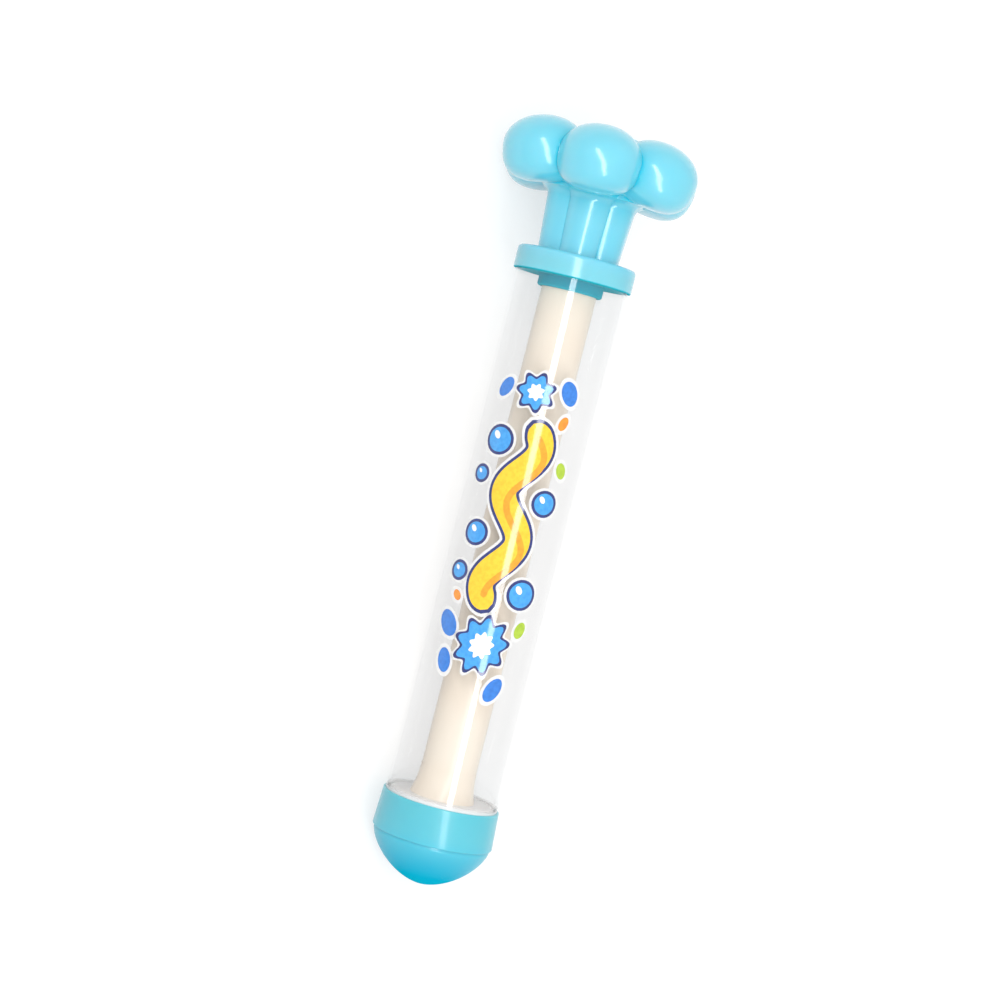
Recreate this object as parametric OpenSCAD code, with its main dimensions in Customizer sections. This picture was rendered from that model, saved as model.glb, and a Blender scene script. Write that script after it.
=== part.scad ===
// Pull-type water squirter: a clear barrel with a domed nozzle cap, and a lobed pull handle on a hollow
// piston rod. It lies on its side with the plunger pushed in: the barrel runs along X with the nozzle
// towards +X, and two lobes of the handle rest on the surface at z = 0.

/* [Barrel] */
// Outside diameter of the clear tube
tube_d = 40; // [34:0.5:46]
// Wall thickness of the tube
tube_wall = 1.2; // [0.8:0.1:2]
// Length of tube that shows between the two caps
tube_show = 186; // [140:1:260]

/* [Nose cap] */
// Length of tube held inside the nose cap
nose_socket = 12; // [8:0.5:16]
// Height of the band past the tube's end
nose_shoulder_h = 1.4; // [1:0.1:3]
// Wall of the nose cap at its rim
nose_rim_wall = 0.7; // [0.5:0.1:2]
// How much the band widens on each side from its rim to the dome
nose_flare = 0.7; // [0:0.1:1.5]
// Step in from the band to the dome
nose_step = 0.7; // [0.2:0.1:1.2]
// Height of the dome
nose_dome_h = 16.8; // [12:0.2:24]
// Diameter of the nozzle bore
nozzle_d = 3; // [2:0.1:5]
// Length of the nozzle bore
nozzle_land = 3; // [2:0.1:5]

/* [End cap] */
// Height of the end cap's rim
cap_h = 8.2; // [7:0.2:12]
// Wall of the end cap's skirt, outside the tube
cap_skirt_wall = 0.9; // [0.6:0.1:2]
// Depth of the groove that takes the tube
cap_groove_h = 5; // [3:0.2:6]
// Rounding of the end cap's rear edge
cap_edge_r = 1.4; // [0.4:0.1:2]
// Wall of the guide boss round the rod
boss_wall = 1.5; // [1:0.1:3]
// Length of the guide boss inside the tube
boss_h = 4; // [2:0.2:8]

/* [Piston rod] */
// Outside diameter of the rod
rod_d = 19.5; // [16:0.1:21]
// Wall thickness of the rod
rod_wall = 1.4; // [1:0.1:2.2]
// Running clearance of the rod in the guide boss, each side
rod_clear = 0.25; // [0.15:0.05:0.5]

/* [Handle] */
// Number of lobes
lobe_count = 6; // [5:1:7]
// Diameter across the outside of the lobes
knob_d = 74.5; // [70:0.5:80]
// Diameter of one lobe
lobe_d = 29; // [26:0.5:32]
// Height of the lobes
lobe_h = 23; // [20:0.5:28]
// Rounding of the lobes' edges
lobe_edge_r = 10.4; // [8:0.1:11]
// Diameter of the web that joins the lobes
web_d = 43; // [40:0.5:46]
// Rounding of the web's edges
web_edge_r = 8; // [6:0.1:9]
// How far the web's faces lie inside the lobes' faces
web_inset = 0.8; // [0.4:0.1:2]
// Length of the fluted stem
stem_h = 21; // [18:0.5:28]
// Diameter across the outside of the flutes
stem_d = 30.6; // [28:0.2:33]
// Diameter of one flute
flute_d = 14.6; // [13:0.2:17]
// Radius of the flare from the stem into the web
flare_r = 6; // [4:0.2:7]
// Depth of the rod's seat in the handle
rod_seat_h = 24; // [18:0.5:27]

/* [Piston] */
// Wall of the foot round the rod's lower end
foot_wall = 1.5; // [1:0.1:3]
// Length of the foot
foot_h = 10.4; // [9:0.2:16]
// Length of the foot's sloped shoulder
foot_slope_h = 5; // [3:0.2:7]
// Thickness of the piston's two plates
plate_t = 2.6; // [2:0.1:4]
// Clearance of the plates in the tube, each side
plate_clear = 0.35; // [0.2:0.05:0.6]
// Section diameter of the seal ring
seal_d = 3.4; // [2.6:0.1:4.2]
// How far the pushed-in piston stands above the nose cap's rim
piston_proud = 0.8; // [0.2:0.1:2]

/* [Hidden] */
$fn = 96;

// Clearance of glued, pressed and screwed joints, each side
fit = 0.05;
// Clearance of the seal ring in the tube
seal_clear = 0.1;
// Gap between the pushed-in handle and the end cap
rest_gap = 0.2;
// How far cuts run past the faces that they open
overrun = 1;
// Segments in a quarter round of a turned profile
arc_steps = 8;
// Segments along a turned dome
dome_steps = 16;
// Powers of the dome's curve, along its height and across its width
dome_rise_power = 1.45;
dome_width_power = 1.75;

// Barrel and rod
tube_r = tube_d / 2;
bore_r = tube_r - tube_wall;
rod_r = rod_d / 2;
rod_bore_r = rod_r - rod_wall;

// Nose cap, with s measured along the barrel from the end cap's lower rim
nose_socket_r = tube_r + fit;
nose_rim_r = nose_socket_r + nose_rim_wall;
nose_band_r = nose_rim_r + nose_flare;
nose_edge_r = nose_step / 2;
dome_r = nose_band_r - nose_step;
nose_rim_s = tube_show;
shoulder_s = nose_rim_s + nose_socket;
dome_s = shoulder_s + nose_shoulder_h;
tip_s = dome_s + nose_dome_h;
nozzle_r = nozzle_d / 2;
nozzle_lip = 1.2;
nozzle_mouth_r = nozzle_r + nozzle_lip;
chamber_end_s = tip_s - nozzle_land;

// End cap
cap_r = tube_r + fit + cap_skirt_wall;
cap_plug_r = bore_r - fit;
cap_socket_r = tube_r + fit;
cap_lip_r = cap_skirt_wall / 2;
guide_r = rod_r + rod_clear;
guide_lead = 0.5;
boss_r = guide_r + boss_wall;
boss_edge = boss_wall / 3;

// Screws: one self-tapping size for the handle and the piston
screw_d = 3.5;
screw_r = screw_d / 2;
screw_head_r = screw_d;
screw_head_h = 2.4;
screw_head_edge_r = 0.8;
screw_tip_h = 2;
screw_bite = 12;
screw_hole_r = screw_r + fit;
screw_head_room = 0.5;
slot_w = 1;
slot_l = 4;
slot_h = 1.2;

// Handle, with heights measured back from its front face
lobe_turn = 360 / lobe_count;
lobe_r = lobe_d / 2;
lobe_flat_least = 0.5;
lobe_round_r = min(lobe_edge_r, lobe_h / 2 - lobe_flat_least, lobe_r - lobe_flat_least);
lobe_place_r = knob_d / 2 - lobe_r;
web_r = web_d / 2;
web_h = lobe_h - 2 * web_inset;
web_round_r = min(web_edge_r, web_h / 2 - lobe_flat_least);
flute_r = flute_d / 2;
flute_place_r = stem_d / 2 - flute_r;
flare_bite = 0.6;
flare_sink = 0.7;
flare_out_r = stem_d / 2 + flare_r - flare_bite;
flare_end_r = (stem_d / 2 + flare_out_r) / 2;
flare_start_h = stem_h + flare_sink - flare_r;
flare_end_h = stem_h + web_h / 3;
seat_wall = 2;
seat_r = rod_r + fit;
stem_core_r = seat_r + seat_wall;
handle_h = stem_h + lobe_h;
back_h = handle_h - web_inset;
seat_web_t = 4;
pocket_floor_h = rod_seat_h + seat_web_t;

// Handle's cover, and the plug in the rod that takes the handle screw
cover_rim = 1.2;
cover_r = web_r - web_round_r - cover_rim;
cover_t = 2;
cover_edge = 0.5;
cover_ledge = 1.6;
cover_skirt_h = 3;
cover_skirt_wall = 1.4;
pocket_r = cover_r - cover_ledge;
cover_seat_h = back_h - cover_t;
plug_h = 16;
plug_r = rod_bore_r - fit;
handle_screw_l = seat_web_t + screw_bite;

// Piston, pushed in
plate_s = nose_rim_s - piston_proud;
plate_r = bore_r - plate_clear;
plate_edge = 0.5;
foot_r = rod_r + fit + foot_wall;
foot_top_wall = foot_wall / 2;
foot_top_r = rod_r + fit + foot_top_wall;
foot_floor_h = 3;
foot_pin_h = 10;
foot_s = plate_s - foot_h;
rod_end_s = plate_s - foot_floor_h;
seal_r = seal_d / 2;
seal_mid_r = bore_r - seal_clear - seal_r;
groove_h = seal_d + 2 * fit;
spigot_r = seal_mid_r - seal_r - fit;
groove_s = plate_s + plate_t;
seal_s = groove_s + groove_h / 2;
front_s = groove_s + groove_h;
front_face_s = front_s + plate_t;
guard_h = 2;
guard_wall = 1.2;
guard_r = screw_head_r + screw_head_room;
piston_screw_l = front_face_s - rod_end_s + foot_pin_h - screw_tip_h;

// Where the squirter lies: its middle at x = 0, and its lowest lobes on z = 0
handle_front_s = -cap_h - rest_gap;
rod_top_s = handle_front_s - rod_seat_h;
middle_s = (handle_front_s - handle_h + tip_s) / 2;
lowest_lobe_turn = lobe_turn / 2;
axis_z = lobe_place_r * cos(lowest_lobe_turn) + lobe_r;

sky_blue = [0.36, 0.80, 0.92];
cream = [0.98, 0.90, 0.78];
milk_white = [0.95, 0.94, 0.92];
clear_grey = [0.90, 0.93, 0.95, 0.30];
steel_grey = [0.72, 0.73, 0.75];
soft_white = [0.86, 0.87, 0.87];

// Points of a round corner, from one angle to another
function arc(x, y, r, from, to) =
    [for (i = [0:arc_steps]) let (a = from + (to - from) * i / arc_steps) [x + r * cos(a), y + r * sin(a)]];

// Width of the dome as a share of its base, at a share of its height
function dome_width(rise) = pow(1 - pow(rise, dome_rise_power), 1 / dome_width_power);

// Share of its height at which the dome has narrowed to a share of its base
function dome_rise(width) = pow(1 - pow(width, dome_width_power), 1 / dome_rise_power);

// Points of a dome from its base out to where it has narrowed to end_r
function dome(base_s, base_r, height, end_r) =
    let (end = dome_rise(end_r / base_r))
    [for (i = [0:dome_steps])
        let (rise = end * sin(90 * i / dome_steps))
        [base_r * dome_width(rise), base_s + height * rise / end]];

// The same points in the other order
function reversed(points) = [for (i = [len(points) - 1:-1:0]) points[i]];

// Lays what is turned about local Z on its side, with s = 0 at the end cap's lower rim
module lie_down() {
    translate([-middle_s, 0, axis_z]) rotate([0, 90, 0]) children();
}

// The same for the handle, whose heights run back from its front face
module lie_down_back() {
    lie_down() translate([0, 0, handle_front_s]) mirror([0, 0, 1]) children();
}

// One copy for each lobe, with the lowest two level when the squirter lies down
module each_lobe() {
    for (i = [0:lobe_count - 1]) rotate([0, 0, lowest_lobe_turn + i * lobe_turn]) children();
}

// Half section of a round cushion that stands on z = 0
module cushion_profile(r, h, round_r) {
    intersection() {
        square([r, h]);
        union() {
            square([r - round_r, h]);
            translate([0, round_r]) square([r, h - 2 * round_r]);
            for (z = [round_r, h - round_r]) translate([r - round_r, z]) circle(r = round_r);
        }
    }
}

// Pan-head screw, its head's seat at z = 0 and its shank along +Z
module pan_screw(length) {
    difference() {
        rotate_extrude() polygon(concat(
            [[0, length], [screw_r / 2, length], [screw_r, length - screw_tip_h], [screw_r, 0]],
            [[screw_head_r, 0]],
            reversed(arc(screw_head_r - screw_head_edge_r, screw_head_edge_r - screw_head_h, screw_head_edge_r,
                -90, 0)),
            [[0, -screw_head_h]]));
        for (turn = [0, 90]) rotate([0, 0, turn])
            translate([-slot_l / 2, -slot_w / 2, -screw_head_h - overrun]) cube([slot_l, slot_w, slot_h + overrun]);
    }
}

module barrel_tube() {
    length = cap_groove_h + shoulder_s;
    color(clear_grey) lie_down() translate([0, 0, -cap_groove_h]) difference() {
        cylinder(r = tube_r, h = length);
        translate([0, 0, -overrun]) cylinder(r = bore_r, h = length + 2 * overrun);
    }
}

// Socket for the tube, flared band, step and pointed dome, hollow down to the nozzle bore
module nose_cap() {
    chamber_h = chamber_end_s - shoulder_s;
    color(sky_blue) lie_down() rotate_extrude() polygon(concat(
        [[nose_socket_r, shoulder_s], [nose_socket_r, nose_rim_s], [nose_rim_r, nose_rim_s]],
        arc(nose_band_r - nose_edge_r, dome_s - nose_edge_r, nose_edge_r, 0, 90),
        dome(dome_s, dome_r, nose_dome_h, nozzle_mouth_r),
        [[nozzle_r, tip_s]],
        reversed(dome(shoulder_s, bore_r, chamber_h, nozzle_r))));
}

// Plug and skirt with a groove for the tube between them, and a boss that guides the rod
module end_cap() {
    color(sky_blue) lie_down() rotate_extrude() polygon(concat(
        [[guide_r, boss_h], [boss_r - boss_edge, boss_h], [boss_r, boss_h - boss_edge], [boss_r, 0]],
        [[cap_plug_r, 0], [cap_plug_r, -cap_groove_h], [cap_socket_r, -cap_groove_h], [cap_socket_r, 0]],
        reversed(arc(cap_r - cap_lip_r, -cap_lip_r, cap_lip_r, 0, 90)),
        reversed(arc(cap_r - cap_edge_r, cap_edge_r - cap_h, cap_edge_r, -90, 0)),
        [[guide_r + guide_lead, -cap_h], [guide_r, guide_lead - cap_h]]));
}

// Round cushion lobes on a web, flaring down into a fluted stem with a seat for the rod
module handle_knob() {
    color(sky_blue) lie_down_back() difference() {
        union() {
            linear_extrude(height = flare_end_h) {
                circle(r = stem_core_r);
                each_lobe() translate([flute_place_r, 0]) circle(r = flute_r);
            }
            rotate_extrude() difference() {
                translate([0, flare_start_h]) square([flare_end_r, flare_end_h - flare_start_h]);
                translate([flare_out_r, flare_start_h]) circle(r = flare_r);
            }
            translate([0, 0, stem_h + web_inset]) rotate_extrude() cushion_profile(web_r, web_h, web_round_r);
            each_lobe() translate([lobe_place_r, 0, stem_h]) rotate_extrude()
                cushion_profile(lobe_r, lobe_h, lobe_round_r);
        }
        translate([0, 0, -overrun]) cylinder(r = seat_r, h = rod_seat_h + overrun);
        cylinder(r = screw_hole_r, h = handle_h);
        translate([0, 0, pocket_floor_h]) cylinder(r = pocket_r, h = handle_h);
        translate([0, 0, cover_seat_h]) cylinder(r = cover_r, h = handle_h);
    }
}

// Snap-in lid over the handle screw
module handle_cover() {
    skirt_r = pocket_r - fit;
    lid_r = cover_r - fit;
    color(sky_blue) lie_down_back() rotate_extrude() polygon([
        [0, cover_seat_h], [skirt_r - cover_skirt_wall, cover_seat_h],
        [skirt_r - cover_skirt_wall, cover_seat_h - cover_skirt_h], [skirt_r, cover_seat_h - cover_skirt_h],
        [skirt_r, cover_seat_h], [lid_r, cover_seat_h], [lid_r, back_h - cover_edge],
        [lid_r - cover_edge, back_h], [0, back_h]]);
}

module handle_screw() {
    color(steel_grey) lie_down_back() translate([0, 0, pocket_floor_h]) mirror([0, 0, 1]) pan_screw(handle_screw_l);
}

// Plug pressed into the rod's upper end
module rod_plug() {
    color(milk_white) lie_down_back() translate([0, 0, rod_seat_h - plug_h]) difference() {
        cylinder(r = plug_r, h = plug_h);
        translate([0, 0, -overrun]) cylinder(r = screw_hole_r, h = plug_h + 2 * overrun);
    }
}

module piston_rod() {
    length = rod_end_s - rod_top_s;
    color(cream) lie_down() translate([0, 0, rod_top_s]) difference() {
        cylinder(r = rod_r, h = length);
        translate([0, 0, -overrun]) cylinder(r = rod_bore_r, h = length + 2 * overrun);
    }
}

// Sleeve with a sloped shoulder over the rod's lower end, and a pin inside it for the piston screw
module piston_foot() {
    sleeve_r = rod_r + fit;
    pin_s = rod_end_s - foot_pin_h;
    color(cream) lie_down() rotate_extrude() polygon([
        [screw_hole_r, plate_s], [foot_r, plate_s], [foot_r, foot_s + foot_slope_h], [foot_top_r, foot_s],
        [sleeve_r, foot_s], [sleeve_r, rod_end_s], [plug_r, rod_end_s], [plug_r, pin_s], [screw_hole_r, pin_s]]);
}

// Rear plate with the spigot that the seal ring sits on
module piston_rear_plate() {
    color(milk_white) lie_down() rotate_extrude() polygon([
        [screw_hole_r, plate_s], [plate_r - plate_edge, plate_s], [plate_r, plate_s + plate_edge],
        [plate_r, groove_s], [spigot_r, groove_s], [spigot_r, front_s], [screw_hole_r, front_s]]);
}

// Front plate with a guard ring round the screw's head
module piston_front_plate() {
    color(milk_white) lie_down() rotate_extrude() polygon([
        [screw_hole_r, front_s], [plate_r, front_s], [plate_r, front_face_s - plate_edge],
        [plate_r - plate_edge, front_face_s], [guard_r + guard_wall, front_face_s],
        [guard_r + guard_wall, front_face_s + guard_h], [guard_r, front_face_s + guard_h],
        [guard_r, front_face_s], [screw_hole_r, front_face_s]]);
}

module piston_screw() {
    color(steel_grey) lie_down() translate([0, 0, front_face_s]) mirror([0, 0, 1]) pan_screw(piston_screw_l);
}

module piston_seal() {
    color(soft_white) lie_down() rotate_extrude() translate([seal_mid_r, seal_s]) circle(r = seal_r);
}

barrel_tube();
nose_cap();
end_cap();
handle_knob();
handle_cover();
handle_screw();
rod_plug();
piston_rod();
piston_foot();
piston_rear_plate();
piston_front_plate();
piston_screw();
piston_seal();
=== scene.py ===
"""Looks for a pull-type water squirter: a clear barrel with a domed nose cap and a lobed pull handle.

Sizes are in millimetres and are made metres where a mesh is built. The barrel runs along X with the nozzle
towards +X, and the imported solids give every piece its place.
"""

import logging
import math
from dataclasses import dataclass, replace
from enum import Enum
from typing import Sequence

import bmesh
import bpy
from mathutils import Matrix, Vector


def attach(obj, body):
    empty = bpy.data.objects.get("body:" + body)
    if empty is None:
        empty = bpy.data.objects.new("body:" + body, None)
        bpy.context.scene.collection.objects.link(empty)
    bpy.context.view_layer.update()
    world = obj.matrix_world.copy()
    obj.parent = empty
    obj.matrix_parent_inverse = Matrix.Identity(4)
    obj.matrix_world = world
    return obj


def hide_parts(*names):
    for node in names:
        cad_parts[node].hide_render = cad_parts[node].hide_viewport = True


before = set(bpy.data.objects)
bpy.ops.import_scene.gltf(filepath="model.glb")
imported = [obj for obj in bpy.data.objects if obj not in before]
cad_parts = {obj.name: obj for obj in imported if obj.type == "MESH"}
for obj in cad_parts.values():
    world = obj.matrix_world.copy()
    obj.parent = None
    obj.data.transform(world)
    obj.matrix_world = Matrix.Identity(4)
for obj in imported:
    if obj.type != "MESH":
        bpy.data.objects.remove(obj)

LOG = logging.getLogger("squirter")
MM = 0.001
ALONG = Vector((1, 0, 0))
WHITE = (1, 1, 1, 1)
# Height of the barrel's axis in the frame, in millimetres
AXIS_Z = 34.202
# Metres within which vertices are one: at seams and poles, and where a Boolean leaves slivers
MERGE = 1e-6
SLIVER = 1e-5
# Most sides that a face keeps after a Boolean
FACE_SIDES = 4
# Typical index of refraction of the plastics and inks
PLASTIC_IOR = 1.5
# Inputs and output of a Mix node that mixes colours
MIX_SHARE, MIX_FROM, MIX_TO, MIX_RESULT = 0, 6, 7, 2
# Fewest rings and steps of a printed blob, and its steps for each wave
BLOB_RINGS, BLOB_STEPS, WAVE_STEPS = 2, 24, 10

Tree = bpy.types.NodeTree
Socket = bpy.types.NodeSocket
Profile = Sequence[tuple[float, float]]
Span = tuple[float, float]


class Body(Enum):
    """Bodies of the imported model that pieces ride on."""

    BARREL = "barrel"
    PLUNGER = "plunger"


class Slot(Enum):
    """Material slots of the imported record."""

    CLEAR = "clear_plastic"
    BLUE = "blue_plastic"
    CREAM = "cream_plastic"


def linear(code: str) -> tuple[float, float, float, float]:
    """Turns an sRGB hex colour into linear RGBA.

    Args:
        code: Colour as "#rrggbb".

    Returns:
        The colour for a shader socket.
    """
    parts = [int(code[i:i + 2], 16) / 255 for i in (1, 3, 5)]
    red, green, blue = (p / 12.92 if p <= 0.04045 else ((p + 0.055) / 1.055) ** 2.4 for p in parts)
    return red, green, blue, 1.0


def add_node(tree: Tree, kind: str, values: dict[str | int, object] | None = None,
             stops: Sequence[tuple[float, str]] = (), **settings: object) -> bpy.types.Node:
    """Adds a node with its settings, and a number, colour or link on each named input.

    Args:
        tree: Node tree that gets the node.
        kind: Class name of the node.
        values: Input name or index to a plain value, or to the output socket that feeds it.
        stops: Places and hex colours of the two stops of a colour ramp.
        settings: Properties of the node itself.

    Returns:
        The new node.
    """
    new = tree.nodes.new(kind)
    for name, value in settings.items():
        setattr(new, name, value)
    for i, (at, colour) in enumerate(stops):
        new.color_ramp.elements[i].position = at
        new.color_ramp.elements[i].color = linear(colour)
    for name, value in (values or {}).items():
        if isinstance(value, Socket):
            tree.links.new(value, new.inputs[name])
        else:
            new.inputs[name].default_value = value
    return new


def new_material(name: str) -> tuple[bpy.types.Material, Tree]:
    """Makes an empty node material.

    Args:
        name: Name of the material.

    Returns:
        The material and its node tree.
    """
    made = bpy.data.materials.new(name)
    made.use_nodes = True
    made.node_tree.nodes.clear()
    return made, made.node_tree


def seen(tree: Tree, *more: str) -> Socket:
    """Adds a test of whether a ray shows the surroundings, straight or through the tube.

    Args:
        tree: Node tree that gets it.
        more: Further kinds of ray that count.

    Returns:
        One for such a ray, else zero.
    """
    path = add_node(tree, "ShaderNodeLightPath").outputs
    shown = path["Is Camera Ray"]
    for kind in ("Is Transmission Ray", *more):
        shown = add_node(tree, "ShaderNodeMath", {0: shown, 1: path[kind]}, operation="MAXIMUM").outputs[0]
    return shown


@dataclass(frozen=True)
class MouldedPlastic:
    """Injection-moulded polypropylene: even colour, a soft pale sheen, a crisp polished skin with a faint ripple.

    Light enters a little way, so thin edges glow. Over the stretch deep_and_shade_x along X, the colour turns to
    deep_and_shade
    and the gloss and skin die away: painted shade where a piece lies in shade, and on the nose also its thicker
    dome. Where its lobes close round, as ambient occlusion finds, the colour is painted darker towards
    crease_shade, painted shade in the creases, over shares of open air from the first to the second of
    crease_shade_open.
    """

    name: str
    colour: str
    shade: str
    deep_and_shade: str = ""
    deep_and_shade_x: Span = (0.0, 1.0)
    crease_shade: str = ""
    crease_shade_mm: float = 10.0
    crease_shade_open: Span = (0.98, 0.42)
    crease_shade_rays: int = 8
    roughness: float = 0.36
    wander: Span = (0.8, 1.25)
    gloss: float = 0.45
    skin: float = 0.9
    skin_roughness: float = 0.15
    skin_ior: float = 1.75
    glow: float = 0.5
    glow_mm: tuple[float, float, float] = (1.0, 2.6, 3.2)
    flow_mm: float = 26.0
    flow_span: Span = (0.30, 0.62)
    # The real ripple is finer, and is drawn this coarse so that it shows
    peel_mm: float = 2.6
    ripple: float = 0.03
    ripple_mm: float = 0.1

    def deepen_and_shade(self, tree: Tree, place: Socket, tone: Socket) -> tuple[Socket, Socket, Socket]:
        """Deepens the colour along X, partly as painted shade, and lets the gloss and the skin die away with it.

        Args:
            tree: Node tree of the material.
            place: Object coordinates.
            tone: Colour so far.

        Returns:
            Colour, gloss and skin.
        """
        along = add_node(tree, "ShaderNodeSeparateXYZ", {"Vector": place}).outputs["X"]
        start, end = self.deep_and_shade_x
        share = add_node(tree, "ShaderNodeMapRange", {
            "Value": along, "From Min": start * MM, "From Max": end * MM},
            interpolation_type="SMOOTHSTEP").outputs["Result"]
        mixed = add_node(tree, "ShaderNodeMix", {
            MIX_SHARE: share, MIX_FROM: tone, MIX_TO: linear(self.deep_and_shade)}, data_type="RGBA")
        gloss, skin = (
            add_node(tree, "ShaderNodeMapRange", {"Value": share, "To Min": full, "To Max": 0.0}).outputs["Result"]
            for full in (self.gloss, self.skin))
        return mixed.outputs[MIX_RESULT], gloss, skin

    def paint_crease_shade(self, tree: Tree, tone: Socket) -> Socket:
        """Paints shade into the colour where ambient occlusion finds the piece's own shape close round.

        Args:
            tree: Node tree of the material.
            tone: Colour so far.

        Returns:
            The colour.
        """
        air = add_node(tree, "ShaderNodeAmbientOcclusion", {"Distance": self.crease_shade_mm * MM},
                       samples=self.crease_shade_rays, only_local=True)
        airy, tight = self.crease_shade_open
        painted_shade_share = add_node(tree, "ShaderNodeMapRange", {
            "Value": air.outputs["AO"], "From Min": airy, "From Max": tight})
        mixed = add_node(tree, "ShaderNodeMix", {
            MIX_SHARE: painted_shade_share.outputs["Result"], MIX_FROM: tone, MIX_TO: linear(self.crease_shade)}, data_type="RGBA")
        return mixed.outputs[MIX_RESULT]

    def material(self) -> bpy.types.Material:
        """Builds the finish.

        Returns:
            A node material with flow marks in the colour and a fine ripple in the gloss.
        """
        made, tree = new_material(self.name)
        place = add_node(tree, "ShaderNodeTexCoord").outputs["Object"]
        flow = add_node(tree, "ShaderNodeTexNoise", {
            "Vector": place, "Scale": 1 / (self.flow_mm * MM), "Detail": 2.0, "Roughness": 0.5})
        tone = add_node(tree, "ShaderNodeValToRGB", {"Fac": flow.outputs["Fac"]},
                        tuple(zip(self.flow_span, (self.shade, self.colour)))).outputs["Color"]
        gloss, skin = self.gloss, self.skin
        # Painted shade: the colour turns deeper along X
        if self.deep_and_shade:
            tone, gloss, skin = self.deepen_and_shade(tree, place, tone)
        # Painted shade: the colour darkens in the creases
        if self.crease_shade:
            tone = self.paint_crease_shade(tree, tone)
        peel = add_node(tree, "ShaderNodeTexNoise", {
            "Vector": place, "Scale": 1 / (self.peel_mm * MM), "Detail": 1.0})
        low, high = self.wander
        rough = add_node(tree, "ShaderNodeMapRange", {
            "Value": peel.outputs["Fac"], "To Min": self.roughness * low, "To Max": self.roughness * high})
        bump = add_node(tree, "ShaderNodeBump", {
            "Height": peel.outputs["Fac"], "Strength": self.ripple, "Distance": self.ripple_mm * MM})
        body = add_node(tree, "ShaderNodeBsdfPrincipled", {
            "Base Color": tone, "Roughness": rough.outputs["Result"], "Normal": bump.outputs["Normal"],
            "IOR": PLASTIC_IOR, "Specular IOR Level": gloss, "Coat Weight": skin, "Coat IOR": self.skin_ior,
            "Coat Roughness": self.skin_roughness, "Coat Normal": bump.outputs["Normal"],
            "Subsurface Weight": self.glow, "Subsurface Radius": self.glow_mm, "Subsurface Scale": MM})
        add_node(tree, "ShaderNodeOutputMaterial", {"Surface": body.outputs["BSDF"]})
        return made


@dataclass(frozen=True)
class ClearTube:
    """Extruded clear polystyrene: almost nothing at right angles, a faint grey cast, bright gloss at the edges.

    Solvent cement frosts the end that is glued into the nose cap, up to the share glue over the stretch glue_x.
    """

    name: str = "clear_extruded_polystyrene"
    tint: str = "#fcfcfc"
    roughness: float = 0.05
    wander: Span = (0.7, 1.4)
    line_mm: tuple[float, float, float] = (400.0, 2.5, 2.5)
    edge_power: float = 5.0
    frost: str = "#fafafa"
    frost_roughness: float = 0.5
    glue: float = 0.7
    glue_x: Span = (102.2, 103.8)

    def material(self) -> bpy.types.Material:
        """Builds the finish.

        Returns:
            A see-through material whose gloss follows Fresnel, with faint draw lines along the tube.
        """
        made, tree = new_material(self.name)
        place = add_node(tree, "ShaderNodeTexCoord").outputs["Object"]
        drawn = add_node(tree, "ShaderNodeMapping", {
            "Vector": place, "Scale": tuple(1 / (size * MM) for size in self.line_mm)})
        lines = add_node(tree, "ShaderNodeTexNoise", {
            "Vector": drawn.outputs["Vector"], "Scale": 1.0, "Detail": 1.0})
        low, high = self.wander
        rough = add_node(tree, "ShaderNodeMapRange", {
            "Value": lines.outputs["Fac"], "To Min": self.roughness * low, "To Max": self.roughness * high})
        # Schlick's curve on the facing angle, the same from inside the wall as from outside
        facing = add_node(tree, "ShaderNodeLayerWeight", {"Blend": 0.5}).outputs["Facing"]
        edge = add_node(tree, "ShaderNodeMath", {0: facing, 1: self.edge_power}, operation="POWER")
        straight = ((PLASTIC_IOR - 1) / (PLASTIC_IOR + 1)) ** 2
        share = add_node(tree, "ShaderNodeMapRange", {
            "Value": edge.outputs["Value"], "To Min": straight, "To Max": 1.0})
        through = add_node(tree, "ShaderNodeBsdfTransparent", {"Color": linear(self.tint)})
        gloss = add_node(tree, "ShaderNodeBsdfPrincipled", {
            "Base Color": WHITE, "Metallic": 1.0, "Roughness": rough.outputs["Result"]})
        wall = add_node(tree, "ShaderNodeMixShader", {
            0: share.outputs["Result"], 1: through.outputs["BSDF"], 2: gloss.outputs["BSDF"]})
        along = add_node(tree, "ShaderNodeSeparateXYZ", {"Vector": place}).outputs["X"]
        start, end = self.glue_x
        glued = add_node(tree, "ShaderNodeMapRange", {
            "Value": along, "From Min": start * MM, "From Max": end * MM, "To Max": self.glue},
            interpolation_type="SMOOTHSTEP")
        frosted = add_node(tree, "ShaderNodeBsdfPrincipled", {
            "Base Color": linear(self.frost), "Roughness": self.frost_roughness})
        whole = add_node(tree, "ShaderNodeMixShader", {
            0: glued.outputs["Result"], 1: wall.outputs["Shader"], 2: frosted.outputs["BSDF"]})
        add_node(tree, "ShaderNodeOutputMaterial", {"Surface": whole.outputs["Shader"]})
        return made


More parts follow.
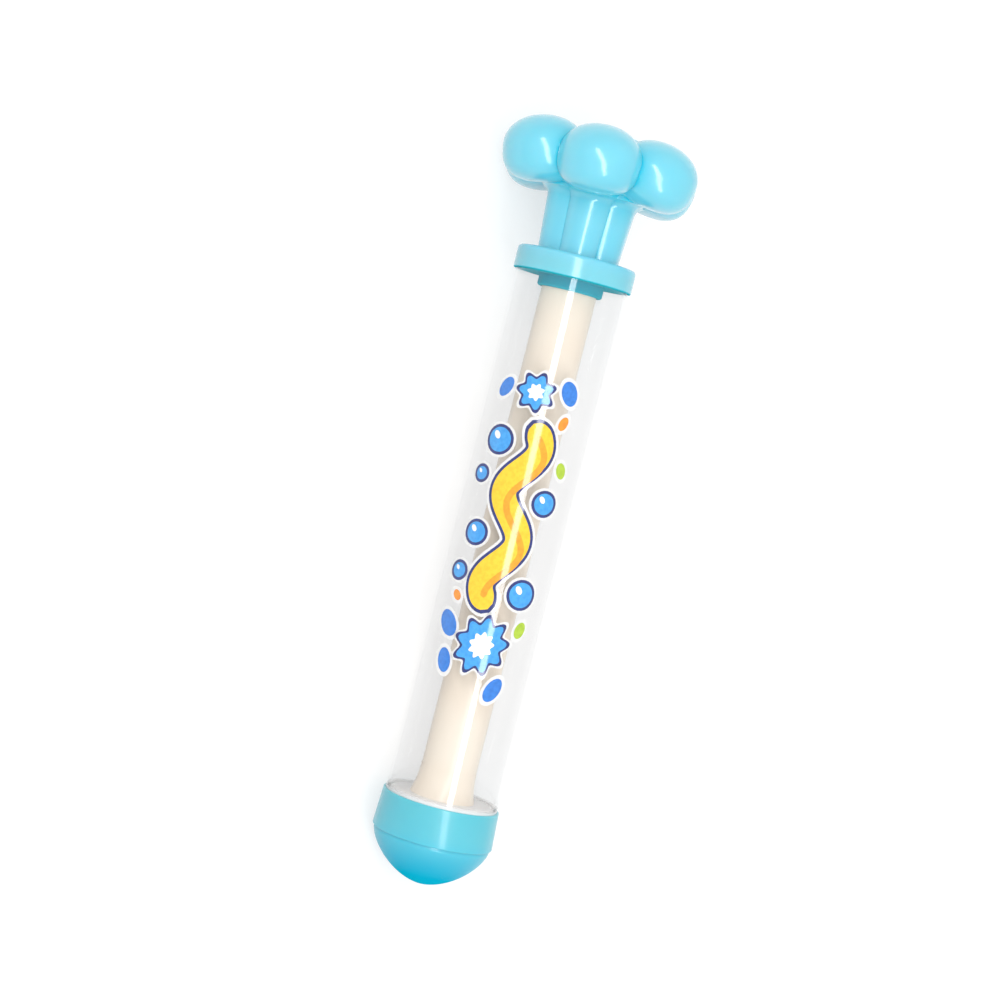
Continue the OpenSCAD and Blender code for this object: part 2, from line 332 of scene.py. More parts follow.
@dataclass(frozen=True)
class ZincSteel:
    """Zinc-plated steel screw: pale metal with fine turned marks."""

    name: str = "zinc_plated_steel"
    colour: str = "#c9ccd0"
    shade: str = "#aeb2b8"
    roughness: Span = (0.22, 0.42)
    mottle_mm: float = 0.8
    mottle_span: Span = (0.3, 0.7)

    def material(self) -> bpy.types.Material:
        """Builds the finish.

        Returns:
            A metal with a fine mottle in its gloss.
        """
        made, tree = new_material(self.name)
        place = add_node(tree, "ShaderNodeTexCoord").outputs["Object"]
        mottle = add_node(tree, "ShaderNodeTexNoise", {
            "Vector": place, "Scale": 1 / (self.mottle_mm * MM), "Detail": 3.0})
        low, high = self.roughness
        rough = add_node(tree, "ShaderNodeMapRange", {
            "Value": mottle.outputs["Fac"], "To Min": low, "To Max": high})
        tone = add_node(tree, "ShaderNodeValToRGB", {"Fac": mottle.outputs["Fac"]},
                        tuple(zip(self.mottle_span, (self.shade, self.colour))))
        body = add_node(tree, "ShaderNodeBsdfPrincipled", {
            "Base Color": tone.outputs["Color"], "Metallic": 1.0, "Roughness": rough.outputs["Result"]})
        add_node(tree, "ShaderNodeOutputMaterial", {"Surface": body.outputs["BSDF"]})
        return made


@dataclass(frozen=True)
class PrintInk:
    """Screen-printed gloss ink on the tube: flat strong colour, slightly thinner in places."""

    name: str
    colour: str
    shade: str
    roughness: float = 0.1
    glow: float = 0.0
    glow_mm: float = 0.2
    # The real screen's mesh is finer, and is drawn this coarse so that it shows
    grain_mm: float = 1.4
    grain_span: Span = (0.34, 0.60)

    def material(self) -> bpy.types.Material:
        """Builds the finish.

        Returns:
            A glossy ink whose colour varies a little with the thickness of the film.
        """
        made, tree = new_material(self.name)
        place = add_node(tree, "ShaderNodeTexCoord").outputs["Object"]
        grain = add_node(tree, "ShaderNodeTexNoise", {
            "Vector": place, "Scale": 1 / (self.grain_mm * MM), "Detail": 3.0})
        tone = add_node(tree, "ShaderNodeValToRGB", {"Fac": grain.outputs["Fac"]},
                        tuple(zip(self.grain_span, (self.shade, self.colour))))
        body = add_node(tree, "ShaderNodeBsdfPrincipled", {
            "Base Color": tone.outputs["Color"], "Roughness": self.roughness, "IOR": PLASTIC_IOR,
            "Specular IOR Level": 1.0, "Subsurface Weight": self.glow, "Subsurface Radius": (1, 1, 1),
            "Subsurface Scale": self.glow_mm * MM})
        add_node(tree, "ShaderNodeOutputMaterial", {"Surface": body.outputs["BSDF"]})
        return made


@dataclass(frozen=True)
class MattBoard:
    """Matt white board under the squirter: dull and even, and lifted to the white of the surroundings.

    The lift shows to the camera, through the tube and in gloss, and puts no light on the squirter.
    """

    name: str = "matt_white_board"
    colour: str = "#b3b3b3"
    shade: str = "#b0b0b0"
    roughness: float = 0.9
    gloss: float = 0.1
    lift: float = 0.6
    grain_mm: float = 1.5
    grain_span: Span = (0.3, 0.7)

    def material(self) -> bpy.types.Material:
        """Builds the finish.

        Returns:
            A matt material with a faint grain.
        """
        made, tree = new_material(self.name)
        place = add_node(tree, "ShaderNodeTexCoord").outputs["Object"]
        grain = add_node(tree, "ShaderNodeTexNoise", {"Vector": place, "Scale": 1 / (self.grain_mm * MM)})
        tone = add_node(tree, "ShaderNodeValToRGB", {"Fac": grain.outputs["Fac"]},
                        tuple(zip(self.grain_span, (self.shade, self.colour))))
        lift = add_node(tree, "ShaderNodeMath", {0: seen(tree, "Is Glossy Ray"), 1: self.lift},
                        operation="MULTIPLY")
        board = add_node(tree, "ShaderNodeBsdfPrincipled", {
            "Base Color": tone.outputs["Color"], "Roughness": self.roughness, "Specular IOR Level": self.gloss,
            "Emission Color": WHITE, "Emission Strength": lift.outputs[0]})
        add_node(tree, "ShaderNodeOutputMaterial", {"Surface": board.outputs["BSDF"]})
        return made


Finish = MouldedPlastic | ClearTube | ZincSteel | PrintInk | MattBoard

# Its crease colour paints shade into the creases between lobes and flutes
KNOB_BLUE = MouldedPlastic("sky_blue_polypropylene_handle", "#6fd3e7", "#68cfe4", crease_shade="#14cce4")
# The deeper teal from X -82.6 on is painted shade on the flange's underside and the boss inside the tube
CAP_BLUE = MouldedPlastic(
    "sky_blue_polypropylene_end_cap", "#7bd1e5", "#74cde2", "#1fb0c6", (-82.6, -82.0),
    roughness=0.17, gloss=0.9, skin=0.0)
# The deeper blue towards the tip is partly the thicker dome and partly painted shade where it turns from the light
NOSE_BLUE = MouldedPlastic(
    "sky_blue_polypropylene_nose", "#5bc6d9", "#54c1d6", "#0ab3d7", (113.0, 130.5), skin=0.35)
CREAM = MouldedPlastic(
    "cream_polypropylene_rod", "#fff4e4", "#fdefdd", roughness=0.24, gloss=0.5, skin=0.0, glow=0.0)
MILK = MouldedPlastic(
    "milk_white_polypropylene", "#fdfdff", "#f8f9fc", roughness=0.4, gloss=0.5, skin=0.0, glow=0.3,
    glow_mm=(1.0, 1.0, 1.0), ripple=0.002)
SEAL = MouldedPlastic(
    "pale_silicone_rubber", "#e2e4e3", "#d7dad9", roughness=0.42, gloss=0.4, skin=0.0, glow=0.3,
    glow_mm=(0.6, 0.6, 0.6), ripple=0.06)
CLEAR = ClearTube()
STEEL = ZincSteel()
BOARD = MattBoard()


def wear(piece: bpy.types.Object, finish: Finish) -> None:
    """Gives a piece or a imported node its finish.

    Args:
        piece: Object that gets it.
        finish: Finish, made once and shared.
    """
    made = bpy.data.materials.get(finish.name) or finish.material()
    piece.data.materials.clear()
    piece.data.materials.append(made)
    LOG.info("%s wears %s on %d faces", piece.name, finish.name, len(piece.data.polygons))


def dress_nodes(finish: Finish, *nodes: str) -> None:
    """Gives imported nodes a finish.

    Args:
        finish: Finish that they get.
        nodes: Names of the nodes.
    """
    for node in nodes:
        wear(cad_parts[node], finish)


def turn(bm: bmesh.types.BMesh, profile: Profile, centre: tuple[float, float],
         steps: int) -> list[bmesh.types.BMVert]:
    """Spins a half section about a line along X.

    Args:
        bm: Mesh that gets the turned shape.
        profile: Points (x, radius) in millimetres, a closed ring of them or a line from pole to pole.
        centre: Y and Z of the line, in millimetres.
        steps: Segments round the line.

    Returns:
        The new vertices.
    """
    y, z = centre
    old = set(bm.verts)
    line = [bm.verts.new((x * MM, y * MM, (z + r) * MM)) for x, r in profile]
    edges = [bm.edges.new(pair) for pair in zip(line, line[1:])]
    if min(profile[0][1], profile[-1][1]) > 0:
        edges.append(bm.edges.new((line[-1], line[0])))
    bmesh.ops.spin(bm, geom=line + edges, cent=(0, y * MM, z * MM), axis=ALONG, angle=math.tau,
                   steps=steps, use_merge=True)
    return [v for v in bm.verts if v not in old]


def close_up(bm: bmesh.types.BMesh) -> None:
    """Merges seams and poles and turns the faces outwards."""
    bmesh.ops.remove_doubles(bm, verts=bm.verts, dist=MERGE)
    bmesh.ops.recalc_face_normals(bm, faces=bm.faces)


def make_object(bm: bmesh.types.BMesh, name: str, sharp: float = 40.0) -> bpy.types.Object:
    """Turns a finished bmesh into an object at the origin.

    Args:
        bm: Mesh, which is freed.
        name: Name of the object.
        sharp: Angle in degrees past which an edge stays crisp.

    Returns:
        The object, linked to the scene and smooth.
    """
    mesh = bpy.data.meshes.new(name)
    bm.to_mesh(mesh)
    bm.free()
    mesh.shade_smooth()
    mesh.set_sharp_from_angle(angle=math.radians(sharp))
    made = bpy.data.objects.new(name, mesh)
    bpy.context.scene.collection.objects.link(made)
    return made


def apply_modifiers(piece: bpy.types.Object) -> None:
    """Puts the result of a piece's modifiers into its mesh and removes them.

    Args:
        piece: Object with modifiers.
    """
    view = bpy.context.evaluated_depsgraph_get()
    done = bpy.data.meshes.new_from_object(piece.evaluated_get(view))
    piece.modifiers.clear()
    old = piece.data
    done.name = old.name + "_done"
    piece.data = done
    bpy.data.meshes.remove(old)


def clear_slivers(piece: bpy.types.Object) -> None:
    """Merges the slivers that a Boolean leaves along its seams, and cuts its many-sided faces into triangles.

    Args:
        piece: Object whose mesh is cleaned.
    """
    bm = bmesh.new()
    bm.from_mesh(piece.data)
    bmesh.ops.remove_doubles(bm, verts=bm.verts, dist=SLIVER)
    bmesh.ops.dissolve_degenerate(bm, edges=bm.edges, dist=SLIVER)
    bmesh.ops.triangulate(bm, faces=[face for face in bm.faces if len(face.verts) > FACE_SIDES])
    bm.to_mesh(piece.data)
    bm.free()


def cushion(half_width: float, half_height: float, powers: tuple[float, float],
            count: int) -> list[tuple[float, float]]:
    """Half section of a cushion from its lower pole to its upper one, on two superellipses.

    Args:
        half_width: Reach from the line of the poles.
        half_height: Half the distance between the poles.
        powers: Below and above the middle, 2 for an ellipse and more for a squarer edge.
        count: Segments.

    Returns:
        Points (height from the middle, reach).
    """
    points = []
    for i in range(count + 1):
        a = math.pi * i / count - math.pi / 2
        power = powers[0] if a < 0 else powers[1]
        rise = math.copysign(abs(math.sin(a)) ** (2 / power), math.sin(a))
        points.append((half_height * rise, half_width * abs(math.cos(a)) ** (2 / power)))
    points[0] = (-half_height, 0.0)
    points[-1] = (half_height, 0.0)
    return points


@dataclass
class Handle:
    """Pull handle: six drooping cushion lobes on a web, each over its own flute of the stem.

    Steps are counted along a section and then round it.
    """

    front_x: float = -90.3
    lobes: int = 6
    lobe_reach: float = 14.3
    lobe_place: float = 22.75
    lobe_height: float = 23.0
    lobe_powers: tuple[float, float] = (2.8, 2.1)
    lobe_droop: float = 12.0
    lobe_steps: tuple[int, int] = (44, 60)
    web_reach: float = 21.5
    web_height: float = 21.4
    web_powers: tuple[float, float] = (5.0, 3.2)
    web_steps: tuple[int, int] = (32, 72)
    stem: float = 21.0
    core: float = 11.8
    core_steps: int = 72
    flute_place: float = 8.0
    flute_reach: float = 7.15
    flute_draft: float = 0.07
    flute_root: float = 4.0
    flute_steps: tuple[int, int] = (18, 56)
    flare_radius: float = 3.2
    flare_start: float = 18.4
    flare_past: float = 1.2
    flare_share: float = 0.76
    seat: tuple[float, float] = (9.8, 24.0)
    screw_hole: float = 1.8
    pocket: tuple[float, float] = (10.7, 28.0)
    cover: tuple[float, float] = (12.3, 41.2)
    cut_past: float = 2.0
    cut_steps: int = 96
    sharp: float = 24.0
    finish: MouldedPlastic = KNOB_BLUE

    def behind(self, height: float) -> float:
        """X of a height above the handle's front face."""
        return self.front_x - height

    def flute_profile(self) -> list[tuple[float, float]]:
        """Half section of one flute, drafted and then flaring out to its lobe.

        Returns:
            Points (x, radius) from pole to pole.
        """
        straight = [(0.0, 0.0), (0.0, self.flute_reach)]
        flared = []
        steps = self.flute_steps[0]
        top = self.stem + self.flare_past
        for i in range(steps + 1):
            h = self.flare_start + (top - self.flare_start) * i / steps
            rise = min(h - self.flare_start, self.flare_radius)
            out = self.flare_radius - math.sqrt(self.flare_radius ** 2 - rise ** 2)
            widest = self.flare_radius * self.flare_share
            flared.append((h, self.flute_reach + self.flute_draft * h + min(out, widest)))
        end = [(top + self.flute_root, flared[-1][1]), (top + self.flute_root, 0.0)]
        return [(self.behind(h), r) for h, r in straight + flared + end]

    def build(self) -> bpy.types.Object:
        """Turns lobes, web and flutes, then fuses them into one moulding as its seats are cut.

        Returns:
            The handle's object.
        """
        bm = bmesh.new()
        middle = self.stem + self.lobe_height / 2
        lobe_count, lobe_round = self.lobe_steps
        web_count, web_round = self.web_steps
        lobe = cushion(self.lobe_reach, self.lobe_height / 2, self.lobe_powers, lobe_count)
        web = cushion(self.web_reach, self.web_height / 2, self.web_powers, web_count)
        turn(bm, [(self.behind(middle + h), r) for h, r in web], (0, AXIS_Z), web_round)
        turn(bm, [(self.behind(h), r) for h, r in
                  ((0, 0), (0, self.core), (middle, self.core), (middle, 0))], (0, AXIS_Z), self.core_steps)
        for i in range(self.lobes):
            a = math.tau * (i + 0.5) / self.lobes
            out = Vector((0, math.sin(a), math.cos(a)))
            place = (self.lobe_place * out.y, AXIS_Z + self.lobe_place * out.z)
            verts = turn(bm, [(self.behind(middle + h), r) for h, r in lobe], place, lobe_round)
            bmesh.ops.rotate(bm, verts=verts, cent=Vector((self.behind(middle), *place)) * MM,
                             matrix=Matrix.Rotation(math.radians(self.lobe_droop), 3, out.cross(ALONG)))
            turn(bm, self.flute_profile(), (self.flute_place * out.y, AXIS_Z + self.flute_place * out.z),
                 self.flute_steps[1])
        close_up(bm)
        knob = make_object(bm, "handle_lobes")
        self.cut(knob)
        return knob

    def cut(self, knob: bpy.types.Object) -> None:
        """Cuts the rod's seat, the screw's hole and the cover's pocket.

        Args:
            knob: The handle, still of overlapping solids, which this fuses.
        """
        bm = bmesh.new()
        past = self.cut_past
        seat_r, seat_h = self.seat
        pocket_r, pocket_h = self.pocket
        cover_r, cover_h = self.cover
        end = self.stem + self.lobe_height + past
        turn(bm, [(self.behind(h), r) for h, r in (
            (-past, 0), (-past, seat_r), (seat_h, seat_r), (seat_h, self.screw_hole), (pocket_h, self.screw_hole),
            (pocket_h, pocket_r), (cover_h, pocket_r), (cover_h, cover_r), (end, cover_r), (end, 0))],
            (0, AXIS_Z), self.cut_steps)
        close_up(bm)
        tool = make_object(bm, "handle_cut")
        hollow = knob.modifiers.new("hollow", "BOOLEAN")
        hollow.operation, hollow.solver, hollow.object = "DIFFERENCE", "EXACT", tool
        hollow.use_self = True
        apply_modifiers(knob)
        clear_slivers(knob)
        bpy.data.objects.remove(tool)
        knob.data.shade_smooth()
        knob.data.set_sharp_from_angle(angle=math.radians(self.sharp))

    def dress(self, knob: bpy.types.Object) -> None:
        """Gives the handle its finish and body, and its cover and screw their finishes.

        Args:
            knob: The handle's object.
        """
        wear(knob, self.finish)
        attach(knob, Body.PLUNGER.value)
        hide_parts("handle_knob")
        dress_nodes(self.finish, "handle_cover")
        dress_nodes(STEEL, "handle_screw")


@dataclass
class Barrel:
    """Clear tube with its two blue caps."""

    rim_x: float = 104.1
    shoulder_x: float = 116.1
    dome_x: float = 117.5
    tip_x: float = 134.3
    land: float = 3.0
    socket: float = 20.05
    rim: float = 20.75
    rim_edge: float = 0.18
    band: float = 21.45
    band_edge: float = 0.35
    edge_steps: int = 6
    bore: float = 18.8
    dome: float = 20.7
    dome_powers: tuple[float, float] = (1.45, 1.75)
    outside_steps: int = 64
    inside_steps: int = 32
    groove: tuple[float, float] = (1.0, 0.18)
    mouth: float = 2.7
    mouth_edge: float = 0.4
    nozzle: float = 1.5
    round_steps: int = 128
    sharp: float = 28.0
    finish: MouldedPlastic = NOSE_BLUE

    def dome_line(self, base_x: float, base: float, height: float, end: float,
                  steps: int) -> list[tuple[float, float]]:
        """Points of a pointed dome from its base to where it has narrowed.

        Args:
            base_x: X of the base.
            base: Radius of the base.
            height: Rise of the dome.
            end: Radius at which it stops.
            steps: Segments.

        Returns:
            Points (x, radius).
        """
        rise_power, width_power = self.dome_powers
        last = (1 - (end / base) ** width_power) ** (1 / rise_power)
        points = []
        for i in range(steps + 1):
            rise = last * math.sin(math.pi / 2 * i / steps)
            points.append((base_x + height * rise / last, base * (1 - rise ** rise_power) ** (1 / width_power)))
        return points

    def build(self) -> bpy.types.Object:
        """Turns the nose cap: tube socket, flared band, groove, pointed dome and nozzle.

        Returns:
            The nose cap's object.
        """
        around = [(self.shoulder_x, self.socket), (self.rim_x, self.socket),
                  (self.rim_x, self.rim - self.rim_edge), (self.rim_x + self.rim_edge, self.rim)]
        edge = self.band_edge
        for i in range(self.edge_steps + 1):
            a = math.pi / 2 * i / self.edge_steps
            around.append((self.dome_x - edge + edge * math.sin(a), self.band - edge + edge * math.cos(a)))
        wide, deep_and_shade = self.groove
        around += [(self.dome_x, self.dome - deep_and_shade), (self.dome_x + wide / 2, self.dome - deep_and_shade)]
        outside = self.dome_line(self.dome_x + wide, self.dome, self.tip_x - self.dome_x - wide, self.mouth,
                                 self.outside_steps)
        chamber = self.tip_x - self.land
        inside = self.dome_line(self.shoulder_x, self.bore, chamber - self.shoulder_x, self.nozzle,
                                self.inside_steps)
        ring = around + outside[:-1] + [(self.tip_x, self.mouth - self.mouth_edge), (self.tip_x, self.nozzle)]
        bm = bmesh.new()
        turn(bm, ring + inside[::-1][:-1] + [(self.shoulder_x, self.bore)], (0, AXIS_Z), self.round_steps)
        close_up(bm)
        return make_object(bm, "nose_dome", self.sharp)

    def dress(self, nose: bpy.types.Object) -> None:
        """Gives the tube and the caps their finishes.

        Args:
            nose: The nose cap's object.
        """
        dress_nodes(CLEAR, "barrel_tube")
        dress_nodes(CAP_BLUE, "end_cap")
        wear(nose, self.finish)
        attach(nose, Body.BARREL.value)
        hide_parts("nose_cap")


@dataclass(frozen=True)
class Blob:
    """Round printed shape whose edge may wave: a dot, a bubble, a drop or a burst."""

    at: tuple[float, float]
    radius: float
    stretch: float = 1.0
    aslant: float = 0.0
    waves: int = 0
    depth: float = 0.0

    def draw(self, bm: bmesh.types.BMesh, grow: float) -> None:
        """Adds the shape, flat, as rings of faces about its middle.

        Args:
            bm: Mesh that gets it.
            grow: How far its edge moves out, in millimetres.
        """
        rings = max(BLOB_RINGS, round(self.radius))
        old = set(bm.verts)
        line = [bm.verts.new((0, (self.radius + grow) * i / rings, 0)) for i in range(rings + 1)]
        edges = [bm.edges.new(pair) for pair in zip(line, line[1:])]
        bmesh.ops.spin(bm, geom=line + edges, cent=(0, 0, 0), axis=(0, 0, 1), angle=math.tau,
                       steps=max(BLOB_STEPS, WAVE_STEPS * self.waves), use_merge=True)
        lean = Matrix.Rotation(math.radians(self.aslant), 2)
        for v in bm.verts:
            if v not in old:
                a = math.atan2(v.co.y, v.co.x)
                swell = 1 + self.depth * math.cos(self.waves * a)
                flat = lean @ Vector((v.co.x * swell * self.stretch, v.co.y * swell))
                v.co = Vector((self.at[0] + flat.x, self.at[1] + flat.y, 0))


@dataclass(frozen=True)
class Ribbon:
    """Printed ribbon that sways along the tube and has round ends."""

    ends: tuple[float, float]
    middle: float
    sway: float
    waves: float
    width: float
    steps: tuple[int, int] = (96, 8)

    def draw(self, bm: bmesh.types.BMesh, grow: float) -> None:
        """Adds the ribbon, flat.

        Args:
            bm: Mesh that gets it.
            grow: How far its edge moves out, in millimetres.
        """
        old = set(bm.verts)
        bmesh.ops.create_grid(bm, x_segments=self.steps[0], y_segments=self.steps[1], size=1.0)
        start, stop = self.ends
        half = self.width / 2 + grow
        for v in bm.verts:
            if v not in old:
                along = (start + stop) / 2 + v.co.x * ((stop - start) / 2 + grow)
                phase = math.tau * self.waves * (along - start) / (stop - start)
                slope = self.sway * math.tau * self.waves / (stop - start) * math.cos(phase)
                short = max(0.0, half - (1 - abs(v.co.x)) * ((stop - start) / 2 + grow))
                across = math.sqrt(max(half ** 2 - short ** 2, 0.0)) * v.co.y
                side = Vector((-slope, 1)).normalized() * across
                v.co = Vector((along + side.x, self.middle + self.sway * math.sin(phase) + side.y, 0))


@dataclass(frozen=True)
class Film:
    """One ink on the tube: its shapes, each with how far its edge moves out, and the number of films below."""

    name: str
    ink: PrintInk
    below: int
    shapes: list[tuple[Blob | Ribbon, float]]


def grown(shapes: Sequence[Blob | Ribbon], grow: float = 0.0) -> list[tuple[Blob | Ribbon, float]]:
    """Pairs printed shapes with how far their edges move out, in millimetres."""
    return [(shape, grow) for shape in shapes]


@dataclass
class TubePrint:
    """Bright print round the front of the tube: a swaying ribbon, bubbles, bursts and drops on a white ground.

    Shapes are laid out flat, x along the tube and y round it, and wrapped on the tube. Each ink is one film.
    """

    tube: float = 20.0
    facing: float = -32.4
    lift: float = 0.03
    thickness: float = 0.02
    outline: float = 1.0
    margin: float = 0.9
    glint_place: tuple[float, float] = (0.34, 0.30)
    glint_size: float = 0.24
    glint_stretch: float = 1.5
    glint_aslant: float = 40.0
    heart_size: float = 0.5
    ribbon: Ribbon = Ribbon((-31.0, 34.0), 1.0, 4.4, 2.0, 8.6)
    shade: Ribbon = Ribbon((-27.5, 30.5), 2.9, 4.4, 1.785, 2.2)
    bubbles: tuple[Blob, ...] = (
        Blob((-23.0, -9.6), 4.3), Blob((-5.2, 11.4), 3.7), Blob((9.6, -9.8), 3.6), Blob((26.8, 11.4), 4.4),
        Blob((-10.4, -13.6), 2.3), Blob((23.6, -12.8), 2.6))
    bursts: tuple[Blob, ...] = (
        Blob((-41.5, -1.0), 5.2, 1.0, 12.0, 7, 0.16), Blob((46.5, 2.0), 7.4, 1.15, -20.0, 9, 0.15))
    drops: tuple[Blob, ...] = (
        Blob((-43.6, 10.6), 2.9, 1.5, 25.0), Blob((-41.0, -12.2), 2.4, 1.6, -30.0),
        Blob((42.0, -11.8), 3.2, 1.5, 35.0), Blob((54.6, -9.8), 2.5, 1.7, 15.0),
        Blob((60.6, 9.6), 2.7, 1.7, -25.0))
    limes: tuple[Blob, ...] = (Blob((-17.4, 14.6), 1.9, 1.5, 20.0), Blob((38.8, 14.2), 2.0, 1.5, -15.0))
    oranges: tuple[Blob, ...] = (Blob((-33.2, 11.0), 1.6, 1.6, -20.0), Blob((32.0, -11.0), 1.4, 1.4, 40.0))

    def glint(self, bubble: Blob) -> Blob:
        """Draws the small slanted light on a bubble.

        Args:
            bubble: Bubble that it lies on.

        Returns:
            The glint.
        """
        back, aside = self.glint_place
        place = (bubble.at[0] - back * bubble.radius, bubble.at[1] - aside * bubble.radius)
        return Blob(place, self.glint_size * bubble.radius, self.glint_stretch, self.glint_aslant)

    def films(self) -> list[Film]:
        """Lists the films from the tube outwards.

        Returns:
            The films.
        """
        outlined = (self.ribbon, *self.bubbles, *self.bursts)
        plain = (*self.drops, *self.limes, *self.oranges)
        glints = [self.glint(bubble) for bubble in self.bubbles]
        hearts = [replace(burst, radius=self.heart_size * burst.radius) for burst in self.bursts]
        return [
            Film("print_ground", PrintInk("white_ink_ground", "#fbfbfb", "#f3f4f5", glow=0.4), 0,
                 grown(outlined, self.outline + self.margin) + grown(plain, self.margin)),
            Film("print_navy", PrintInk("navy_ink", "#1b2f7d", "#152565"), 1, grown(outlined, self.outline)),
            Film("print_yellow", PrintInk("yellow_ink", "#ffd526", "#fbc718"), 2, grown([self.ribbon])),
            Film("print_sky", PrintInk("sky_ink", "#3fa9f2", "#3199e8"), 2, grown(self.bubbles + self.bursts)),
            Film("print_blue", PrintInk("blue_ink", "#2a83e2", "#2175d2"), 2, grown(self.drops)),
            Film("print_lime", PrintInk("lime_ink", "#b5d334", "#a5c626"), 2, grown(self.limes)),
            Film("print_orange", PrintInk("orange_ink", "#f79a1e", "#ee8a12"), 2, grown(self.oranges)),
            Film("print_amber", PrintInk("amber_ink", "#f9ab10", "#f09c08"), 3, grown([self.shade])),
            Film("print_glints", PrintInk("white_ink", "#fbfbfb", "#f3f4f5"), 3, grown(glints + hearts))]

    def wrap(self, bm: bmesh.types.BMesh, below: int) -> None:
        """Lays a flat film on the tube and gives it its thickness.

        Args:
            bm: Mesh with x along the tube and y round it, in millimetres.
            below: Number of films below it.
        """
        close = self.tube + self.lift * (below + 1)
        for v in bm.verts:
            a = math.radians(self.facing) + v.co.y / self.tube
            v.co = Vector((v.co.x, close * math.sin(a), AXIS_Z + close * math.cos(a))) * MM
        close_up(bm)
        bmesh.ops.solidify(bm, geom=bm.faces, thickness=self.thickness * MM)
        bmesh.ops.recalc_face_normals(bm, faces=bm.faces)

    def build(self) -> None:
        """Prints every film."""
        for film in self.films():
            bm = bmesh.new()
            for shape, grow in film.shapes:
                shape.draw(bm, grow)
            self.wrap(bm, film.below)
            printed = make_object(bm, film.name)
            wear(printed, film.ink)
            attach(printed, Body.BARREL.value)


@dataclass
class Plunger:
    """Rod, foot, piston plates, seal and screws."""

    foot_x: tuple[float, float] = (92.9, 103.3)
    sleeve: float = 9.8
    feather: float = 0.06
    foot: float = 11.5
    flare_steps: int = 20
    rod_end_x: float = 100.3
    pin_x: float = 90.3
    pin: float = 8.3
    screw_hole: float = 1.8
    round_steps: int = 96

    def build(self) -> bpy.types.Object:
        """Turns the foot, a sleeve that flares smoothly from the rod down to the piston.

        Returns:
            The foot's object.
        """
        top, low = self.foot_x
        edge = self.sleeve + self.feather
        flared = []
        for i in range(self.flare_steps + 1):
            t = i / self.flare_steps
            flared.append((top + (low - top) * t, edge + (self.foot - edge) * t * t))
        inside = [(low, self.screw_hole), (self.pin_x, self.screw_hole), (self.pin_x, self.pin),
                  (self.rod_end_x, self.pin), (self.rod_end_x, self.sleeve), (top, self.sleeve)]
        bm = bmesh.new()
        turn(bm, flared + inside, (0, AXIS_Z), self.round_steps)
        close_up(bm)
        return make_object(bm, "foot_sleeve")

    def dress(self, foot: bpy.types.Object) -> None:
        """Gives the foot and the inner pieces their finishes.

        Args:
            foot: The foot's object.
        """
        wear(foot, CREAM)
        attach(foot, Body.PLUNGER.value)
        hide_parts("piston_foot")
        dress_nodes(CREAM, "piston_rod")
        dress_nodes(MILK, "rod_plug", "piston_rear_plate", "piston_front_plate")
        dress_nodes(SEAL, "piston_seal")
        dress_nodes(STEEL, "piston_screw")


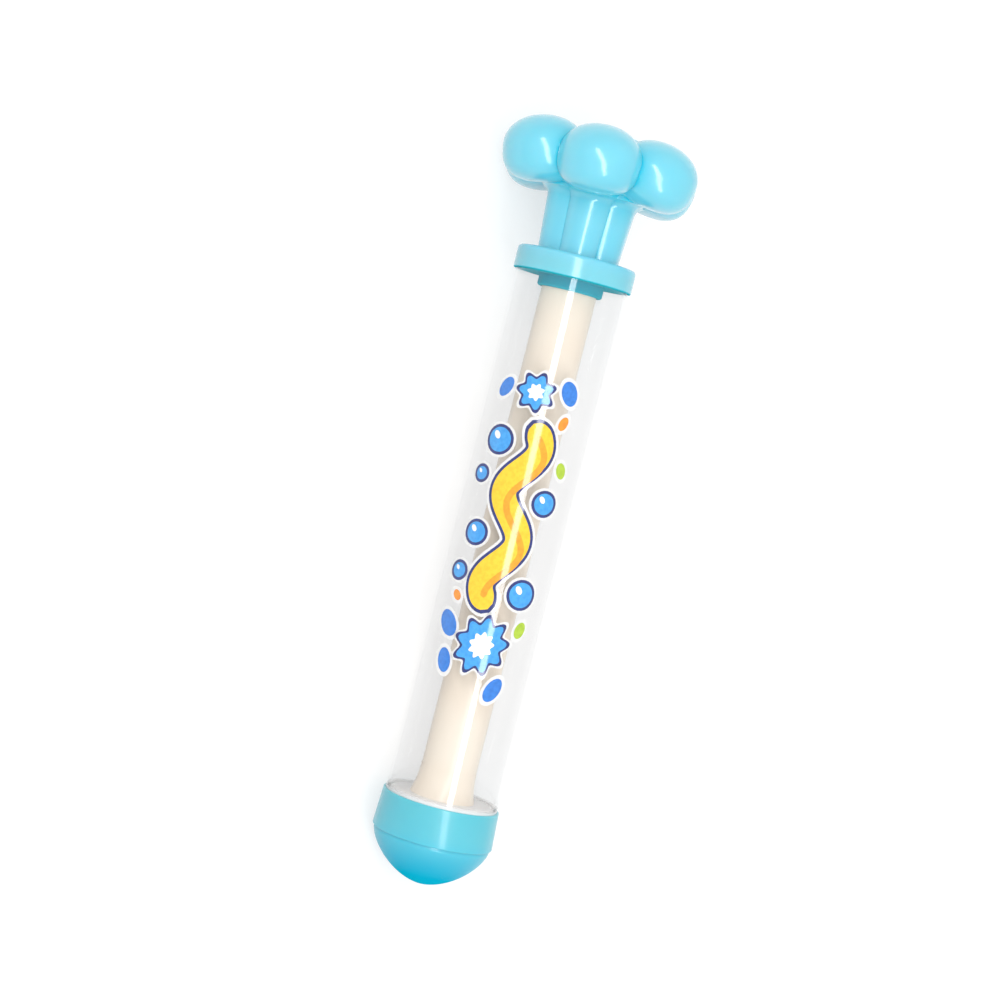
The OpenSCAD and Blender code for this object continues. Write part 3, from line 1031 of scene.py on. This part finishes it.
@dataclass
class Studio:
    """White table, one long soft lamp near the camera, white surroundings, and the camera above the squirter.

    The camera looks at one of the two upper lobes, so it leans to that side of the barrel.
    """

    rest_x: float = -120.0
    rest_z: float = -0.6
    nose_x: float = 117.1
    nose_low_z: float = 12.7
    table_half: float = 3000.0
    table_cells: int = 8
    camera_away: float = 820.9
    camera_x: float = -2.25
    camera_aside: float = -5.63
    camera_roll: float = 14.13
    camera_lean: float = -27.4
    camera_pitch: float = 2.4
    camera_near: float = 10.0
    lens: float = 85.03
    sensor: float = 36.0
    lamp_away: float = 800.0
    lamp_aside: float = 105.0
    lamp_long: float = 1250.0
    lamp_wide: float = 150.0
    lamp_turn: float = 31.0
    lamp_glow: float = 6.2
    surround: float = 0.87

    def overhead(self, turn_deg: float, x: float, aside: float, away: float) -> Matrix:
        """Matrix of something that looks down at the squirter from the photographer's side.

        Args:
            turn_deg: Turn of its upward side from the barrel's line.
            x: Place along the barrel that it looks at.
            aside: How far to the right of the barrel's axis it looks.
            away: How far from that place it stands.

        Returns:
            The matrix in metres.
        """
        lean = math.radians(self.camera_lean)
        tilt = math.tan(math.radians(self.camera_pitch))
        back = Vector((-tilt, math.sin(lean), math.cos(lean))).normalized()
        along = (ALONG - back * ALONG.dot(back)).normalized()
        across = back.cross(along)
        c, s = math.cos(math.radians(turn_deg)), math.sin(math.radians(turn_deg))
        right = -s * along + c * across
        top = -c * along - s * across
        place = Vector((x, 0, AXIS_Z)) + across * aside + back * away
        return Matrix.Translation(place * MM) @ Matrix((right, top, back)).transposed().to_4x4()

    def build_camera(self) -> None:
        """Sets the camera where the photograph was taken."""
        data = bpy.data.cameras.new("camera")
        data.lens, data.sensor_width, data.sensor_fit = self.lens, self.sensor, "HORIZONTAL"
        data.clip_start = self.camera_near * MM
        camera = bpy.data.objects.new("camera", data)
        camera.matrix_world = self.overhead(self.camera_roll, self.camera_x, self.camera_aside, self.camera_away)
        bpy.context.scene.collection.objects.link(camera)
        bpy.context.scene.camera = camera

    def build_lamp(self) -> None:
        """Hangs the long soft lamp between the camera and the squirter, out of the camera's sight."""
        data = bpy.data.lights.new("strip_lamp", "AREA")
        data.shape, data.size, data.size_y = "RECTANGLE", self.lamp_wide * MM, self.lamp_long * MM
        data.energy = self.lamp_glow * math.pi * data.size * data.size_y
        lamp = bpy.data.objects.new("strip_lamp", data)
        lamp.matrix_world = self.overhead(self.lamp_turn, 0.0, self.lamp_aside, self.lamp_away)
        lamp.visible_camera = False
        bpy.context.scene.collection.objects.link(lamp)

    def build_table(self) -> None:
        """Lays the white table under the lobes and the nose cap."""
        slope = (self.nose_low_z - self.rest_z) / (self.nose_x - self.rest_x)
        along = Vector((1, 0, slope)).normalized()
        across = Vector((0, 1, 0))
        place = Matrix.Translation(Vector((self.rest_x, 0, self.rest_z)) * MM)
        tilted = Matrix((along, across, along.cross(across))).transposed().to_4x4()
        bm = bmesh.new()
        bmesh.ops.create_grid(bm, x_segments=self.table_cells, y_segments=self.table_cells,
                              size=self.table_half * MM)
        bmesh.ops.transform(bm, verts=bm.verts, matrix=place @ tilted)
        table = make_object(bm, "table")
        wear(table, BOARD)

    def build_surroundings(self) -> None:
        """Makes the white surroundings, which light the squirter softly from all round."""
        world = bpy.data.worlds.new("white_tent")
        world.use_nodes = True
        tree = world.node_tree
        tree.nodes.clear()
        strength = add_node(tree, "ShaderNodeMapRange", {
            "Value": seen(tree), "To Min": self.surround, "To Max": 1.0})
        sky = add_node(tree, "ShaderNodeBackground", {"Color": WHITE, "Strength": strength.outputs["Result"]})
        add_node(tree, "ShaderNodeOutputWorld", {"Surface": sky.outputs["Background"]})
        bpy.context.scene.world = world

    def build(self) -> None:
        """Builds the whole studio."""
        self.build_camera()
        self.build_lamp()
        self.build_table()
        self.build_surroundings()
        bpy.context.scene.view_settings.view_transform = "Standard"


def main() -> None:
    logging.basicConfig(level=logging.INFO, format="%(name)s: %(message)s")
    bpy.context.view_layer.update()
    Studio().build()
    handle = Handle()
    handle.dress(handle.build())
    barrel = Barrel()
    barrel.dress(barrel.build())
    TubePrint().build()
    plunger = Plunger()
    plunger.dress(plunger.build())


if __name__ == "__main__":
    main()
